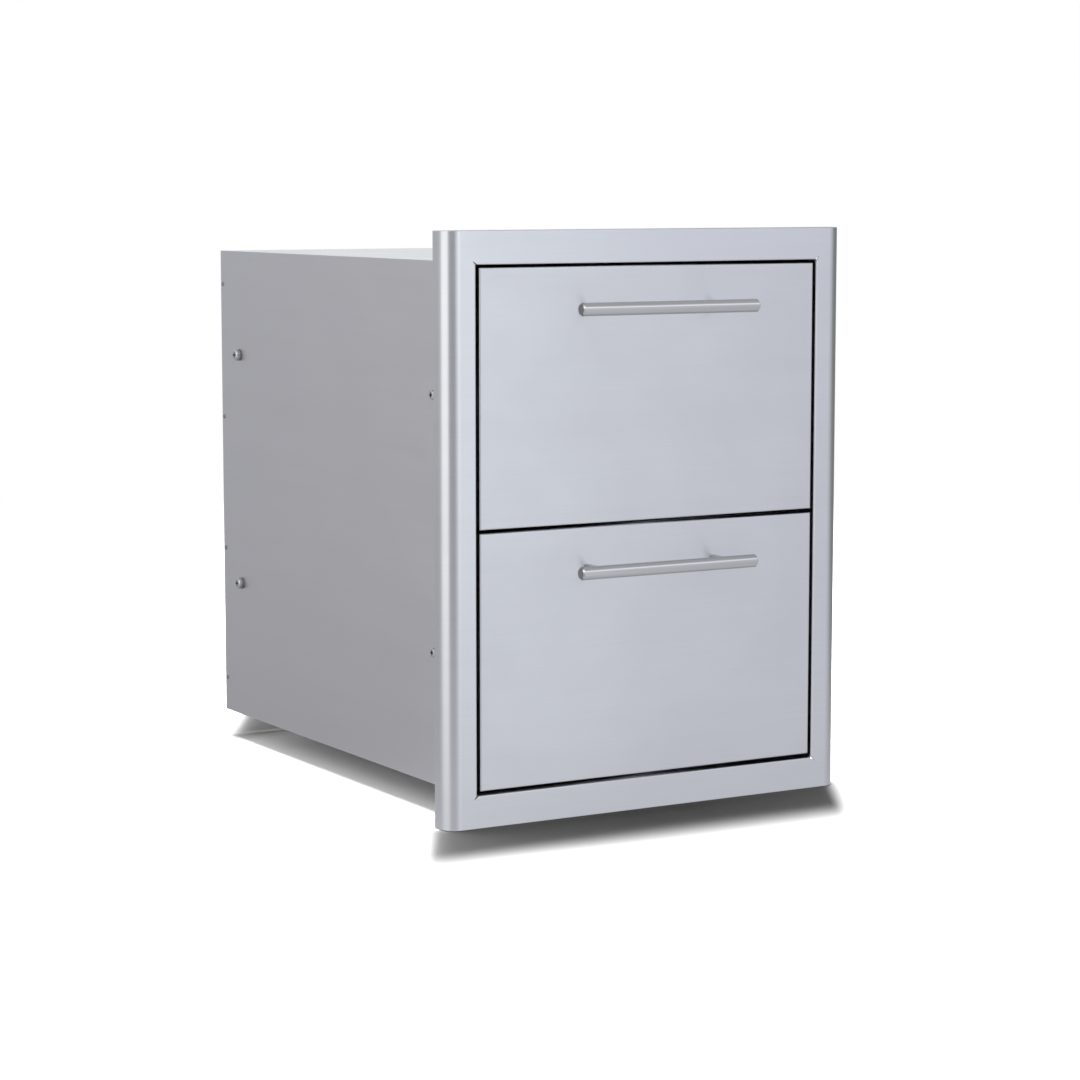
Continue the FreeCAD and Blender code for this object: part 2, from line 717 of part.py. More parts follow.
def make_drawer_back(drawer):
    """Back wall of a tray, with a flange forwards inside each side."""
    body = new_body(f"{drawer}_drawer_back")
    inside = "tray_half - tray_sheet"
    low = f"{drawer}_base + tray_lift + tray_sheet"
    start = "tray_back_y - tray_sheet - tray_back_flange"
    face = "tray_back_y - tray_sheet"
    pad(body, "XY_Plane", (0, 0, f"{low} + tray_bend"), "tray_height - 2 * tray_sheet - tray_bend", [
        (f"-({inside})", start), (f"tray_sheet - ({inside})", start), (f"tray_sheet - ({inside})", face),
        (f"{inside} - tray_sheet", face), (f"{inside} - tray_sheet", start), (inside, start),
        (inside, "tray_back_y"), (f"-({inside})", "tray_back_y"),
    ])
    pad(body, "XZ_Plane", (0, face, 0), "tray_sheet",
        box(f"tray_bend - ({inside})", f"{inside} - tray_bend", low, f"{low} + tray_bend"))
    hole = "rivet_diameter + 2 * screw_play"
    for side in (f"-({inside})", f"{inside} - tray_sheet"):
        cut(body, "YZ_Plane", (side, 0, 0), "tray_sheet",
            *[(tray_rivet_y(), height, hole) for height in front_screw_heights(drawer)])


def make_back_rivets(drawer):
    """Rivets through a tray's sides and the flanges of its back wall."""
    body = new_body(f"{drawer}_back_rivets")
    low, high = front_screw_heights(drawer)
    rivet = turn(body, "XY_Plane", ("-tray_half", tray_rivet_y(), low),
                 rivet_outline("2 * tray_sheet"), "H_Axis")
    repeat(body, [rivet], [("Z_Axis", f"{high} - ({low})", 2)], "YZ_Plane")


def make_front_screws(drawer):
    """Screws from inside the tray through its front tabs and the liner into the front."""
    body = new_body(f"{drawer}_front_screws")
    low, high = front_screw_heights(drawer)
    across = "-(tray_half - tray_sheet - tray_tab / 2)"
    shank = turn(body, "YZ_Plane", (across, "tray_front_y + tray_sheet", low),
                 screw_outline("small_head_diameter", "small_head_height", "small_screw_diameter",
                               "tray_sheet + 2 * front_sheet + small_screw_tip", -1), "H_Axis")
    slots = cross_recess(body, "XZ_Plane",
                         (0, "tray_front_y + tray_sheet + small_head_height - recess_depth", 0),
                         across, low, "small_head_diameter")
    repeat(body, [shank] + slots, [("Z_Axis", f"{high} - ({low})", 2)], "YZ_Plane")


def make_slide_screws(drawer):
    """Screws that join the drawer members of the slides to the tray's sides."""
    body = new_body(f"{drawer}_slide_screws")
    start = "inner_web - wall_x"
    height = f"{drawer}_slide_z"
    shank = turn(body, "XY_Plane", (start, "slide_y + tray_screw_front", height),
                 screw_outline("small_head_diameter", "small_head_height", "small_screw_diameter",
                               "slide_sheet + tray_sheet + small_screw_tip"), "H_Axis")
    slots = cross_recess(body, "YZ_Plane", (f"{start} - small_head_height", 0, 0),
                         "slide_y + tray_screw_front", height, "small_head_diameter")
    repeat(body, [shank] + slots,
           [("Y_Axis", "tray_screw_rear - tray_screw_front", 2)], "YZ_Plane")


def make_handle_bar(drawer):
    """Round bar with chamfered ends and two sockets for the posts."""
    body = new_body(f"{drawer}_handle_bar")
    half, radius = "handle_length / 2", "handle_diameter / 2"
    turn(body, "XY_Plane", (0, "handle_y", f"{drawer}_handle_z"), [
        (f"-({half})", 0),
        (f"-({half})", f"{radius} - handle_chamfer"),
        (f"handle_chamfer - {half}", radius),
        (f"{half} - handle_chamfer", radius),
        (half, f"{radius} - handle_chamfer"),
        (half, 0),
    ], "H_Axis")
    cut(body, "XZ_Plane", (0, f"handle_y + {radius} - post_socket", 0), "post_socket",
        *[(f"{sign} * post_spacing / 2", f"{drawer}_handle_z", "post_diameter + 2 * hole_play")
          for sign in (-1, 1)])


def make_handle_posts(drawer):
    """Two posts between the front and the bar, each threaded for its screw."""
    body = new_body(f"{drawer}_handle_posts")
    radius = "post_diameter / 2"
    start = "handle_reach - handle_diameter / 2 + post_socket"
    post = turn(body, "XY_Plane", ("-post_spacing / 2", "front_y", f"{drawer}_handle_z"), [
        ("small_screw_diameter / 2 + hole_play", 0),
        (radius, 0),
        (radius, f"-({start})"),
        (0, f"-({start})"),
        (0, "-post_thread_depth"),
        ("small_screw_diameter / 2 + hole_play", "-post_thread_depth"),
    ], "V_Axis")
    repeat(body, [post], (), "YZ_Plane")


def make_handle_screws(drawer):
    """Screws from inside the drawer front into the posts."""
    body = new_body(f"{drawer}_handle_screws")
    across = "-post_spacing / 2"
    shank = turn(body, "YZ_Plane", (across, "front_y + front_sheet", f"{drawer}_handle_z"),
                 screw_outline("small_head_diameter", "small_head_height", "small_screw_diameter",
                               "front_sheet + post_thread_depth - 1", -1), "H_Axis")
    slots = cross_recess(body, "XZ_Plane",
                         (0, "front_y + front_sheet + small_head_height - recess_depth", 0),
                         across, f"{drawer}_handle_z", "small_head_diameter")
    repeat(body, [shank] + slots, (), "YZ_Plane")


def make_housing():
    """Everything that stays still."""
    make_front_frame()
    for side in SIDES:
        make_casing_side(side)
    make_casing_plate("casing_top", "casing_ceiling")
    make_casing_plate("casing_bottom", "casing_floor - casing_sheet")
    make_casing_back()
    make_casing_rivets()
    make_side_screws("slide_front_screws", "front_screw_y", "0",
                     "front_head_diameter", "front_head_height")
    make_side_screws("slide_rear_screws", "rear_screw_y", "rear_screw_rise",
                     "rear_head_diameter", "rear_head_height")
    make_slide_buffers()


def make_slides(drawer):
    """Both telescopic slides of a drawer."""
    for side in SIDES:
        make_slide_outer(drawer, side)
        make_slide_middle(drawer, side)
        make_slide_inner(drawer, side)
        for stage in STAGES:
            make_ball_cage(drawer, side, stage)
            make_balls(drawer, side, stage)


def make_drawer(drawer):
    """A drawer with its front, tray and handle."""
    make_drawer_front(drawer)
    make_drawer_liner(drawer)
    make_drawer_tray(drawer)
    make_drawer_back(drawer)
    make_back_rivets(drawer)
    make_front_screws(drawer)
    make_slide_screws(drawer)
    make_handle_bar(drawer)
    make_handle_posts(drawer)
    make_handle_screws(drawer)


def check_document():
    """Stops the run if any object failed or any sub-part's shape is bad."""
    for item in document.Objects:
        if "Invalid" in item.State or "Error" in item.State:
            raise RuntimeError(f"{item.Label} failed: {item.State}")
    for label in LABELS:
        shape = document.getObject(label).Shape
        if shape.isNull() or not shape.isValid():
            raise RuntimeError(f"{label} has a bad shape")


def write_parts():
    """One STEP file for each sub-part."""
    os.makedirs("parts", exist_ok=True)
    for label in LABELS:
        document.getObject(label).Shape.exportStep(f"parts/{label}.step")


fill_sheet()
make_housing()
for name in DRAWERS:
    make_slides(name)
    make_drawer(name)
check_document()
write_parts()
print(f"{len(LABELS)} sub-parts written")
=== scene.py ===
import json
from math import cos, pi, radians, sin

import bpy
from mathutils import Euler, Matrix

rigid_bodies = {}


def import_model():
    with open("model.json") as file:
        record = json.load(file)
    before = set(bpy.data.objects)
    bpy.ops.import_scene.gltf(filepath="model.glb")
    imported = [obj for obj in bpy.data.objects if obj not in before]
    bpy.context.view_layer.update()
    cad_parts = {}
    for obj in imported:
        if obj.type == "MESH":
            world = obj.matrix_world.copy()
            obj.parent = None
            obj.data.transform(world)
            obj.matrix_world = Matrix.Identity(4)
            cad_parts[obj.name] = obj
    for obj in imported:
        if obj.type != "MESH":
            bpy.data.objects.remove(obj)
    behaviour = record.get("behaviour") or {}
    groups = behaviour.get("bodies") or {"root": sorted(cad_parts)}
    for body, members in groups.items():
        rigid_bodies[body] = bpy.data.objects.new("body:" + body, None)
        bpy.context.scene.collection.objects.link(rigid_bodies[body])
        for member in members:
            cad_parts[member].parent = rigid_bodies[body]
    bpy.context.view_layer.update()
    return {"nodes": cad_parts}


bl_info = {
    "name": "Outdoor Kitchen Drawer Unit",
    "version": (1, 0, 0),
    "blender": (4, 5, 0),
    "location": "3D View > Sidebar > Drawer Unit",
    "description": "Steel, zinc and rubber finishes for a two-drawer unit, with its studio",
    "category": "Object",
}

MM = 0.001

# Everything is in metres. +Z is up, and the drawers open towards -Y.
for leftover in list(bpy.data.objects):
    bpy.data.objects.remove(leftover)
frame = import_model()
PARTS = frame["nodes"]


def colour_property(name, description, default):
    """A colour that the user can change."""
    return bpy.props.FloatVectorProperty(
        name=name, description=description, subtype="COLOR", size=3, min=0.0, max=1.0, default=default)


def share_property(name, description, default):
    """A number from nothing to all."""
    return bpy.props.FloatProperty(
        name=name, description=description, subtype="FACTOR", min=0.0, max=1.0, default=default)


def length_property(name, description, default):
    """A length in metres."""
    return bpy.props.FloatProperty(
        name=name, description=description, subtype="DISTANCE", unit="LENGTH", min=0.0, default=default)


class DrawerUnitSteel(bpy.types.PropertyGroup):
    """Colours and grain of the sheet steel."""

    frame_colour: colour_property(
        "Frame steel", "Colour of the trim frame", (0.59, 0.60, 0.62))
    front_colour: colour_property(
        "Front steel", "Colour of the drawer fronts", (0.605, 0.615, 0.635))
    casing_colour: colour_property(
        "Casing steel", "Colour of the casing's panels", (0.57, 0.57, 0.587))
    tray_colour: colour_property(
        "Tray steel", "Colour of the trays, their backs and the liners", (0.55, 0.55, 0.56))
    handle_colour: colour_property(
        "Handle steel", "Colour of the handle bars and posts", (0.45, 0.45, 0.45))
    grain_width: length_property(
        "Grain width", "Width of one brush mark", 0.35 * MM)
    grain_length: length_property(
        "Grain length", "Length of one brush mark", 42 * MM)
    # The line along a folded edge is drawn lighter in colour: wear, and a painted highlight.
    edge_width: length_property(
        "Worn edge", "Width of the polished line along a folded edge", 0.5 * MM)
    frame_roughness: share_property(
        "Frame roughness", "How dull the trim frame is", 0.38)
    front_roughness: share_property(
        "Front roughness", "How dull the drawer fronts are", 0.44)
    frame_stretch: share_property(
        "Frame stretch", "How far the frame draws highlights out across its brush marks", 0.86)
    front_stretch: share_property(
        "Front stretch", "How far the fronts draw highlights out across their brush marks", 0.89)
    casing_roughness: share_property(
        "Casing roughness", "How dull the casing is", 0.38)
    handle_roughness: share_property(
        "Handle roughness", "How dull the handles are", 0.14)


class DrawerUnitFittings(bpy.types.PropertyGroup):
    """Colours of the slides, fasteners and buffers."""

    zinc_colour: colour_property(
        "Zinc plating", "Colour of the slide members", (0.62, 0.64, 0.66))
    cage_colour: colour_property(
        "Cage steel", "Colour of the ball cages", (0.42, 0.41, 0.38))
    ball_colour: colour_property(
        "Ball steel", "Colour of the bearing balls", (0.70, 0.70, 0.71))
    fastener_colour: colour_property(
        "Fastener steel", "Colour of the screws and rivets", (0.62, 0.62, 0.63))
    rubber_colour: colour_property(
        "Rubber", "Colour of the buffers", (0.022, 0.022, 0.024))


class DrawerUnitStudio(bpy.types.PropertyGroup):
    """Floor, light and camera."""

    floor_colour: colour_property(
        "Floor", "Colour of the floor", (0.86, 0.86, 0.86))
    glow_strength: bpy.props.FloatProperty(
        name="Glow", description="Strength of the glow from behind on the left", min=0.0, default=1.0)
    key_power: bpy.props.FloatProperty(
        name="Key light", description="Power of the softbox overhead", subtype="POWER", unit="POWER",
        min=0.0, default=2300.0)
    tent_strength: bpy.props.FloatProperty(
        name="Light tent", description="Brightness of the tent that the steel mirrors", min=0.0, default=1.0)
    camera_place: bpy.props.FloatVectorProperty(
        name="Camera", description="Place of the camera", subtype="TRANSLATION", unit="LENGTH", size=3,
        default=(-1.450957, -2.534197, 0.573553))
    camera_turn: bpy.props.FloatProperty(
        name="Turn", description="Turn of the view from straight ahead towards +X", subtype="ANGLE",
        unit="ROTATION", default=radians(30.2742))
    camera_dip: bpy.props.FloatProperty(
        name="Dip", description="Angle of the view below the horizon", subtype="ANGLE", unit="ROTATION",
        default=radians(6.8274))
    camera_lens: bpy.props.FloatProperty(
        name="Lens", description="Focal length for a frame 36 mm wide", subtype="DISTANCE_CAMERA",
        min=1.0, default=99.2262)


class Recipe:
    """The nodes of a material or a world, written one call at a time."""

    def __init__(self, name, kind="materials"):
        self.owner = getattr(bpy.data, kind).new(name)
        self.owner.use_nodes = True
        self.tree = self.owner.node_tree
        self.tree.nodes.clear()

    def node(self, kind, settings=None, **inputs):
        """A node with its settings and inputs. An input is named, or numbered as in i0, and is a value or
        another node's socket."""
        made = self.tree.nodes.new("ShaderNode" + kind)
        for name, value in (settings or {}).items():
            setattr(made, name, value)
        for name, value in inputs.items():
            numbered = name[0] == "i" and name[1:].isdigit()
            socket = made.inputs[int(name[1:]) if numbered else name.replace("_", " ")]
            if isinstance(value, bpy.types.NodeSocket):
                self.tree.links.new(value, socket)
            else:
                socket.default_value = value
        return made

    def math(self, operation, first, second=0.0, clamp=False):
        """The result of a Math node."""
        return self.node("Math", {"operation": operation, "use_clamp": clamp}, i0=first, i1=second).outputs[0]

    def dot(self, first, second):
        """How far two directions agree."""
        return self.node("VectorMath", {"operation": "DOT_PRODUCT"}, i0=first, i1=second).outputs["Value"]

    def spread(self, value, low, high, start=0.0, end=1.0):
        """A value taken from one range to another."""
        return self.node("MapRange", {"clamp": True}, i0=value, i1=start, i2=end, i3=low, i4=high).outputs[0]

    def soft(self, value, start, end):
        """A smooth step from 0 at the start to 1 at the end."""
        return self.node("MapRange", {"clamp": True, "interpolation_type": "SMOOTHSTEP"},
                         i0=value, i1=start, i2=end, i3=0.0, i4=1.0).outputs[0]

    def place(self, scale):
        """A point of the object in metres, stretched by a scale for each axis."""
        point = self.node("TexCoord").outputs["Object"]
        return self.node("Mapping", i0=point, i3=scale).outputs[0]

    def noise(self, scale, detail=2.0, roughness=0.5):
        """Smooth noise whose features are as wide as one over the scale, on each axis."""
        return self.node("TexNoise", i0=self.place(scale), Scale=1.0, Detail=detail,
                         Roughness=roughness).outputs["Fac"]

    def tint(self, amount, first, second, way="MIX"):
        """A mix of two colours, each a colour or another node's socket."""
        first, second = (colour if isinstance(colour, bpy.types.NodeSocket) else (*colour, 1.0)
                         for colour in (first, second))
        return self.node("Mix", {"data_type": "RGBA", "blend_type": way},
                         i0=amount, i6=first, i7=second).outputs[2]

    def finish(self, **inputs):
        """A Principled shader with these inputs as the surface."""
        return self.surface(self.node("BsdfPrincipled", **inputs).outputs[0])

    def surface(self, socket, output="OutputMaterial"):
        """This shader as the surface."""
        self.node(output, Surface=socket)
        return self.owner


def scaled(colour, factor):
    """A colour made lighter or darker."""
    return tuple(min(1.0, channel * factor) for channel in colour)


def along(axes, wide, long):
    """Noise scales for marks this wide and long that run along these axes."""
    return tuple(1 / long if name in axes else 1 / wide for name in "XYZ")


def worn_edge_sheen(recipe, width):
    """0 on a flat sheet, rising to 1 along its folds and cut edges, where wear and a painted highlight go."""
    soft = recipe.node("Bevel", {"samples": 4}, Radius=width).outputs[0]
    sharp = recipe.node("NewGeometry").outputs["Normal"]
    return recipe.spread(recipe.dot(soft, sharp), 1.0, 0.0, 0.80, 0.995)


def crevice(recipe, reach, low, high, alone):
    """1 in the open, falling to 0 in slots and corners tighter than this reach, where painted shade goes. Low
    and high are the open shares where it is 0 and 1; alone leaves the other pieces out."""
    open_share = recipe.node("AmbientOcclusion", {"samples": 8, "only_local": alone},
                             Distance=reach).outputs["AO"]
    return recipe.spread(open_share, 0.0, 1.0, low, high)


# Smooth noise mostly stays inside these two ranges.
WIDE = (0.3, 0.7)
NARROW = (0.35, 0.65)
# Brushed steel: how far brush marks change the colour and the roughness and how far clouds change the
# roughness, each way; how much lighter (wear and a painted highlight) and glossier an edge's rubbed line is,
# and the share of it that shows; and the brightness left in a slot by painted shade, with the reach of that
# shade.
MARK_TINT = 0.035
MARK_DULL = 0.035
CLOUD_DULL = 0.03
EDGE_LIGHT = 1.22
EDGE_GLOSS = 0.08
EDGE_SHARE = 0.55
SLOT_LIGHT = 0.25
SLOT_REACH = 3 * MM


def brushed_steel(name, colour, roughness, axis, width, length, edge, depth=1.0, stretch=0.0):
    """Brushed sheet steel: fine marks along the axis, broader streaks and bands, faint clouds, polished edges
    lightened as wear and a painted highlight, and slots darkened with painted shade. Depth is how strong the
    marks are. Stretch draws highlights out up and down, as level brush marks do on an upright sheet."""
    recipe = Recipe(name)
    marks = recipe.noise(along(axis, width, length), 3.0, 0.6)
    streaks = recipe.noise(along(axis, 5 * width, 3 * length), 2.0)
    bands = recipe.noise(along(axis, 60 * width, 12 * length), 1.0)
    clouds = recipe.noise((14.0, 14.0, 14.0), 3.0, 0.55)
    clear = crevice(recipe, SLOT_REACH, 0.25, 0.6, True)
    edge_wear_and_sheen = recipe.math("MULTIPLY", worn_edge_sheen(recipe, edge), clear)
    grain = recipe.math("ADD", recipe.math("MULTIPLY", marks, 0.55), recipe.math("MULTIPLY", streaks, 0.45))
    tone = recipe.math("ADD", recipe.math("MULTIPLY", grain, 0.75), recipe.math("MULTIPLY", bands, 0.25))
    plain = recipe.tint(recipe.spread(tone, 0.0, 1.0, 0.32, 0.68),
                        scaled(colour, 1.0 - MARK_TINT * depth), scaled(colour, 1.0 + MARK_TINT * depth))
    # Folds and cut edges are lightened in colour: wear, and a painted highlight.
    lit = recipe.tint(recipe.math("MULTIPLY", edge_wear_and_sheen, EDGE_SHARE), plain, scaled(colour, EDGE_LIGHT))
    # Slots and tight corners are darkened in colour: painted shade.
    shaded = recipe.tint(clear, scaled(colour, SLOT_LIGHT), lit)
    dull = recipe.math("ADD", recipe.spread(grain, roughness - MARK_DULL, roughness + MARK_DULL, *WIDE),
                       recipe.spread(clouds, -CLOUD_DULL, CLOUD_DULL, *WIDE))
    dull = recipe.math("SUBTRACT", dull, recipe.math("MULTIPLY", edge_wear_and_sheen, EDGE_GLOSS), clamp=True)
    bump = recipe.node("Bump", Strength=0.16 * depth, Distance=0.02 * MM, Height=grain)
    level = recipe.node("Tangent", {"direction_type": "RADIAL", "axis": "Z"})
    return recipe.finish(Base_Color=shaded, Metallic=1.0, Roughness=dull, Normal=bump.outputs[0],
                         Anisotropic=stretch, Anisotropic_Rotation=0.25, Tangent=level.outputs[0])


def wear(part_names, material):
    """Puts one material on CAD nodes."""
    for part_name in part_names:
        mesh = PARTS[part_name].data
        mesh.materials.clear()
        mesh.materials.append(material)


def parts_with(*endings):
    """Names of the CAD nodes that end with one of these words."""
    return [part_name for part_name in sorted(PARTS) if part_name.endswith(endings)]


class FinishOperator:
    """What the finishing operators share."""

    bl_options = {"REGISTER", "UNDO"}

    def steel(self, context):
        return context.scene.drawer_unit_steel

    def fittings(self, context):
        return context.scene.drawer_unit_fittings


class DRAWERUNIT_OT_trim_frame(FinishOperator, bpy.types.Operator):
    """Brushed steel on the trim frame, with level marks"""

    bl_idname = "drawer_unit.trim_frame"
    bl_label = "Trim Frame"

    def execute(self, context):
        steel = self.steel(context)
        wear(["front_frame"], brushed_steel(
            "frame_steel", steel.frame_colour, steel.frame_roughness, "XY",
            steel.grain_width, steel.grain_length, steel.edge_width, stretch=steel.frame_stretch))
        return {"FINISHED"}


class DRAWERUNIT_OT_drawer_fronts(FinishOperator, bpy.types.Operator):
    """Brushed steel on both drawer fronts"""

    bl_idname = "drawer_unit.drawer_fronts"
    bl_label = "Drawer Fronts"

    def execute(self, context):
        steel = self.steel(context)
        wear(parts_with("drawer_front"), brushed_steel(
            "front_steel", steel.front_colour, steel.front_roughness, "XY",
            steel.grain_width, steel.grain_length, steel.edge_width, stretch=steel.front_stretch))
        return {"FINISHED"}


class DRAWERUNIT_OT_casing(FinishOperator, bpy.types.Operator):
    """Mill-finished steel on the casing's walls, top, bottom and back"""

    bl_idname = "drawer_unit.casing"
    bl_label = "Casing"

    def execute(self, context):
        steel = self.steel(context)
        for label, axis, names in (
                ("wall", "XY", ["casing_left", "casing_right", "casing_back"]),
                ("panel", "Y", ["casing_top", "casing_bottom"])):
            wear(names, brushed_steel(
                f"casing_{label}_steel", steel.casing_colour, steel.casing_roughness, axis,
                1.4 * steel.grain_width, 2 * steel.grain_length, steel.edge_width, 0.6))
        return {"FINISHED"}


class DRAWERUNIT_OT_handles(FinishOperator, bpy.types.Operator):
    """Turned and satin-ground steel on the handle bars and their posts, which the fronts don't mirror"""

    bl_idname = "drawer_unit.handles"
    bl_label = "Handles"

    def execute(self, context):
        steel = self.steel(context)
        for label, axis, names in (
                ("bar", "X", parts_with("handle_bar")),
                ("post", "Y", parts_with("handle_posts"))):
            wear(names, brushed_steel(
                f"handle_{label}_steel", steel.handle_colour, steel.handle_roughness, axis,
                0.7 * steel.grain_width, 0.5 * steel.grain_length, 0.5 * steel.edge_width, 0.8))
            for part_name in names:
                PARTS[part_name].visible_glossy = False
        return {"FINISHED"}


class DRAWERUNIT_OT_trays(FinishOperator, bpy.types.Operator):
    """Brushed steel on the trays, their back walls and the liners of the fronts"""

    bl_idname = "drawer_unit.trays"
    bl_label = "Trays"

    def execute(self, context):
        steel = self.steel(context)
        for label, axis, names in (
                ("tray", "Y", parts_with("drawer_tray")),
                ("liner", "X", parts_with("drawer_liner", "drawer_back"))):
            wear(names, brushed_steel(
                f"{label}_steel", steel.tray_colour, steel.frame_roughness - 0.03, axis,
                steel.grain_width, steel.grain_length, steel.edge_width))
        return {"FINISHED"}


class DRAWERUNIT_OT_slides(FinishOperator, bpy.types.Operator):
    """Bright zinc plating on the slide members"""

    bl_idname = "drawer_unit.slides"
    bl_label = "Slides"

    def execute(self, context):
        colour = self.fittings(context).zinc_colour
        recipe = Recipe("zinc_plating")
        rolled = recipe.noise(along("Y", 0.8 * MM, 60 * MM), 2.0)
        mottle = recipe.noise((50.0, 50.0, 50.0), 3.0, 0.5)
        rubbed = recipe.noise(along("Y", 3 * MM, 200 * MM), 1.0)
        tone = recipe.math("ADD", recipe.math("MULTIPLY", rolled, 0.4), recipe.math("MULTIPLY", mottle, 0.6))
        colour = recipe.tint(recipe.spread(tone, 0.0, 1.0, *NARROW),
                             scaled(colour, 0.92), scaled(colour, 1.06))
        dull = recipe.math("ADD", recipe.spread(mottle, 0.26, 0.31, *WIDE),
                           recipe.spread(rubbed, 0.03, -0.03, *WIDE))
        bump = recipe.node("Bump", Strength=0.15, Distance=0.015 * MM, Height=rolled)
        wear(parts_with("slide_outer", "slide_middle", "slide_inner"), recipe.finish(
            Base_Color=colour, Metallic=1.0, Roughness=dull, Normal=bump.outputs[0]))
        return {"FINISHED"}


class DRAWERUNIT_OT_bearings(FinishOperator, bpy.types.Operator):
    """Plain stamped steel on the ball cages, and polished, lightly greased steel on the balls"""

    bl_idname = "drawer_unit.bearings"
    bl_label = "Ball Cages and Balls"

    def execute(self, context):
        fittings = self.fittings(context)
        recipe = Recipe("cage_strip")
        strip = recipe.noise(along("Y", 0.5 * MM, 25 * MM), 2.0)
        film = recipe.noise((300.0, 300.0, 300.0), 2.0)
        colour = recipe.tint(recipe.spread(film, 0.0, 1.0, *NARROW),
                             scaled(fittings.cage_colour, 0.85), scaled(fittings.cage_colour, 1.1))
        bump = recipe.node("Bump", Strength=0.3, Distance=0.02 * MM, Height=strip)
        wear(parts_with("cage"), recipe.finish(
            Base_Color=colour, Metallic=1.0, Roughness=recipe.spread(strip, 0.3, 0.45, *WIDE),
            Normal=bump.outputs[0]))
        recipe = Recipe("ball_polish")
        film = recipe.noise((700.0, 700.0, 700.0), 2.0)
        colour = recipe.tint(recipe.spread(film, 0.0, 1.0, *NARROW),
                             scaled(fittings.ball_colour, 0.94), fittings.ball_colour)
        wear(parts_with("balls"), recipe.finish(
            Base_Color=colour, Metallic=1.0, Roughness=recipe.spread(film, 0.06, 0.16, *NARROW)))
        return {"FINISHED"}


class DRAWERUNIT_OT_fasteners(FinishOperator, bpy.types.Operator):
    """Plain steel on the screws and rivets, with painted shade in the recesses and round the heads"""

    bl_idname = "drawer_unit.fasteners"
    bl_label = "Screws and Rivets"

    def execute(self, context):
        colour = self.fittings(context).fastener_colour
        for label, shade, dullest, names in (
                ("screw", 0.86, 0.34, parts_with("screws")), ("rivet", 0.42, 0.5, parts_with("rivets"))):
            recipe = Recipe(f"{label}_steel")
            speckle = recipe.noise((1200.0, 1200.0, 1200.0), 2.0)
            stain = recipe.noise((250.0, 250.0, 250.0), 2.0)
            clear = crevice(recipe, 5 * MM, 0.45, 0.82, False)
            tone = recipe.math("MULTIPLY", recipe.math("ADD", speckle, stain), 0.5)
            plain = recipe.tint(recipe.spread(tone, 0.0, 1.0, *NARROW),
                                scaled(colour, 0.85 * shade), scaled(colour, 1.05 * shade))
            # Recesses and the foot of each head are darkened in colour: painted shade.
            shaded_recesses = recipe.tint(clear, scaled(colour, 0.1), plain)
            dull = recipe.math("ADD", recipe.spread(stain, dullest - 0.12, dullest, *WIDE),
                               recipe.spread(clear, 0.25, 0.0))
            bump = recipe.node("Bump", Strength=0.3, Distance=0.02 * MM, Height=speckle)
            wear(names, recipe.finish(
                Base_Color=shaded_recesses, Metallic=1.0, Roughness=dull, Normal=bump.outputs[0]))
        return {"FINISHED"}


class DRAWERUNIT_OT_buffers(FinishOperator, bpy.types.Operator):
    """Matt moulded rubber on the buffers at the back of the slides"""

    bl_idname = "drawer_unit.buffers"
    bl_label = "Buffers"

    def execute(self, context):
        colour = self.fittings(context).rubber_colour
        recipe = Recipe("buffer_rubber")
        pores = recipe.noise((1500.0, 1500.0, 1500.0), 3.0)
        bloom = recipe.noise((120.0, 120.0, 120.0), 2.0)
        tone = recipe.tint(recipe.spread(bloom, 0.0, 1.0, 0.35, 0.7), colour, scaled(colour, 1.9))
        bump = recipe.node("Bump", Strength=0.5, Distance=0.05 * MM, Height=pores)
        wear(["slide_buffers"], recipe.finish(
            Base_Color=tone, Roughness=recipe.spread(pores, 0.62, 0.8, *WIDE), Normal=bump.outputs[0]))
        return {"FINISHED"}


def studio_piece(name, points, faces):
    """An object made of these faces, in the scene."""
    mesh = bpy.data.meshes.new(name)
    mesh.from_pydata(points, [], faces)
    made = bpy.data.objects.new(name, mesh)
    bpy.context.scene.collection.objects.link(made)
    return made


def disc(name, radius, steps=96):
    """A flat round sheet at floor level."""
    points = [(radius * cos(2 * pi * k / steps), radius * sin(2 * pi * k / steps), 0.0) for k in range(steps)]
    return studio_piece(name, points, [list(range(steps))])


def dome(name, radius, wall, height, lift=0.5 * MM, steps=72, rings=12):
    """A round wall that closes into a dome, with a floor that is lifted off the real one."""
    profile = [(2 * lift, lift), (0.25 * radius, lift), (radius, lift), (radius, wall)]
    profile += [(radius * cos(pi / 2 * k / rings), wall + (height - wall) * sin(pi / 2 * k / rings))
                for k in range(1, rings + 1)]
    points = [(r * cos(2 * pi * k / steps), r * sin(2 * pi * k / steps), z)
              for r, z in profile for k in range(steps)]
    faces = [[row * steps + k, row * steps + (k + 1) % steps,
              (row + 1) * steps + (k + 1) % steps, (row + 1) * steps + k]
             for row in range(len(profile) - 1) for k in range(steps)]
    return studio_piece(name, points, faces)


# The floor's radius, and the distances from the unit between which it turns plain white.
FLOOR_RADIUS = 14.0
FLOOR_FADE = (0.9, 2.6)
# The tent's radius, and the heights of its wall and of its middle.
TENT_RADIUS = 2.0
TENT_WALL = 1.2
TENT_HEIGHT = 2.6
